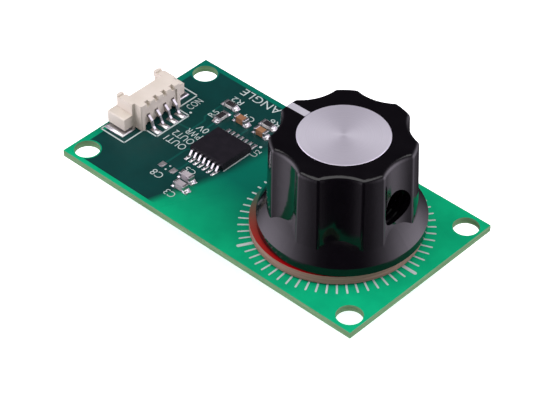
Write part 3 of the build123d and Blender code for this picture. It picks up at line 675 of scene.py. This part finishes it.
# ---------------------------------------------------------------- stage, light and camera
FLOOR_REACH = 3000            # mm, from its middle to each side
FLOOR_GAP = 0.02              # under the lowest point
floor_mesh = bmesh.new()
bmesh.ops.create_grid(floor_mesh, x_segments=1, y_segments=1, size=FLOOR_REACH)
bmesh.ops.translate(floor_mesh, verts=floor_mesh.verts, vec=(0, 0, low.z / MM - FLOOR_GAP))
bmesh.ops.transform(floor_mesh, matrix=Matrix.Scale(MM, 4), verts=floor_mesh.verts)
floor_data = bpy.data.meshes.new("floor")
floor_mesh.to_mesh(floor_data)
floor_mesh.free()
floor = bpy.data.objects.new("floor", floor_data)


def floor_material():
    """Pale sweep: it glows a little, so that shadows on it stay faint."""
    s = Shader("pale_floor")
    mottle = s.span(s.noise(0.05, 2.0), 0.90, 0.93)
    s.set(
        Base_Color=s.add("ShaderNodeCombineColor", {0: mottle, 1: mottle, 2: mottle}).outputs[0],
        Roughness=0.8,
        Specular_IOR_Level=0.0,
        Emission_Color=(1.0, 1.0, 1.0, 1.0),
        Emission_Strength=0.7,
    )
    return s.material


floor_data.materials.append(floor_material())
floor.visible_glossy = False  # reflections show the studio instead
bpy.context.scene.collection.objects.link(floor)
floor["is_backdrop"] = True

# The studio is dark in front and bright to the object's two sides, as between two softboxes.
SIDE = Vector((0.73, 0.68, 0.0)).normalized()
SIDE_FOCUS = 2.3              # how quickly the bright sides fall off towards the front and back
SKY_DARK = 0.05
SKY_SIDE = 4.0
GROUND_DARK = 0.025
GROUND_SIDE = 3.0
HORIZON = 0.08                # half the height of the soft step between ground and sky

world = bpy.data.worlds.new("studio")
bpy.context.scene.world = world
world.use_nodes = True
studio = world.node_tree
background = studio.nodes["Background"]

sky_direction = add_node(studio, "ShaderNodeTexCoord").outputs["Generated"]
sideways = add_node(
    studio, "ShaderNodeVectorMath", {0: sky_direction, 1: tuple(SIDE)}, operation="DOT_PRODUCT"
).outputs["Value"]
squared = add_node(studio, "ShaderNodeMath", {0: sideways, 1: sideways}, operation="MULTIPLY").outputs[0]
beside = add_node(studio, "ShaderNodeMath", {0: squared, 1: SIDE_FOCUS}, operation="POWER").outputs[0]
sky, ground = [
    add_node(studio, "ShaderNodeMath", {0: beside, 1: side, 2: dark}, operation="MULTIPLY_ADD").outputs[0]
    for side, dark in ((SKY_SIDE, SKY_DARK), (GROUND_SIDE, GROUND_DARK))
]
upward = add_node(studio, "ShaderNodeSeparateXYZ", {0: sky_direction}).outputs["Z"]
above = add_node(
    studio, "ShaderNodeMapRange", {"Value": upward, "From Min": -HORIZON, "From Max": HORIZON}
).outputs[0]
strength = add_node(studio, "ShaderNodeMix", {0: above, 2: ground, 3: sky}, data_type="FLOAT").outputs[0]
studio.links.new(strength, background.inputs["Strength"])
background.inputs["Color"].default_value = (1.0, 0.91, 1.06, 1.0)


def soft_light(name, place, target, size, brightness):
    """Square softbox: brightness is its radiance, so its power follows its area."""
    data = bpy.data.lights.new(name, "AREA")
    data.shape = "RECTANGLE"
    data.size = size * MM
    data.size_y = size * MM
    data.energy = brightness * math.pi * data.size * data.size_y
    obj = bpy.data.objects.new(name, data)
    bpy.context.scene.collection.objects.link(obj)
    obj.location = Vector(place) * MM
    aim = Vector(target) * MM - obj.location
    obj.rotation_euler = aim.to_track_quat("-Z", "Y").to_euler()
    return obj


KNOB_PLACE = Vector((9.8, 0.0, 6.0))   # the middle of the knob
OVERHEAD_OFFSET = Vector((10, -15, 200))
OVERHEAD_SIZE = 230
OVERHEAD_RADIANCE = 2.3
SIDE_DISTANCE = 140
SIDE_RISE = Vector((0, 0, 95))
SIDE_SIZE = 70
SIDE_RADIANCE = 3.0
soft_light("overhead_softbox", KNOB_PLACE + OVERHEAD_OFFSET, KNOB_PLACE, OVERHEAD_SIZE, OVERHEAD_RADIANCE)
for name, side in (("left_softbox", -1), ("right_softbox", 1)):
    place = KNOB_PLACE + side * SIDE_DISTANCE * SIDE + SIDE_RISE
    box = soft_light(name, place, KNOB_PLACE, SIDE_SIZE, SIDE_RADIANCE)
    # their shine comes from the studio's bright sides, which are softer
    box.visible_glossy = False

LENS = 149.1                  # focal length
CAMERA_DISTANCE = 244.37
camera_data = bpy.data.cameras.new("camera")
camera_data.lens = LENS
camera_data.sensor_width = 36.0
camera_data.clip_start = 0.01
camera_data.clip_end = 20.0
camera = bpy.data.objects.new("camera", camera_data)
bpy.context.scene.collection.objects.link(camera)
TARGET = Vector((1.98, -1.04, 0.8))
DIRECTION = Vector((-0.5163, 0.5527, -0.6543)).normalized()
camera.location = (TARGET - DIRECTION * CAMERA_DISTANCE) * MM
camera.rotation_euler = DIRECTION.to_track_quat("-Z", "Y").to_euler()
bpy.context.scene.camera = camera
bpy.context.scene.view_settings.view_transform = "Standard"

low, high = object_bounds()
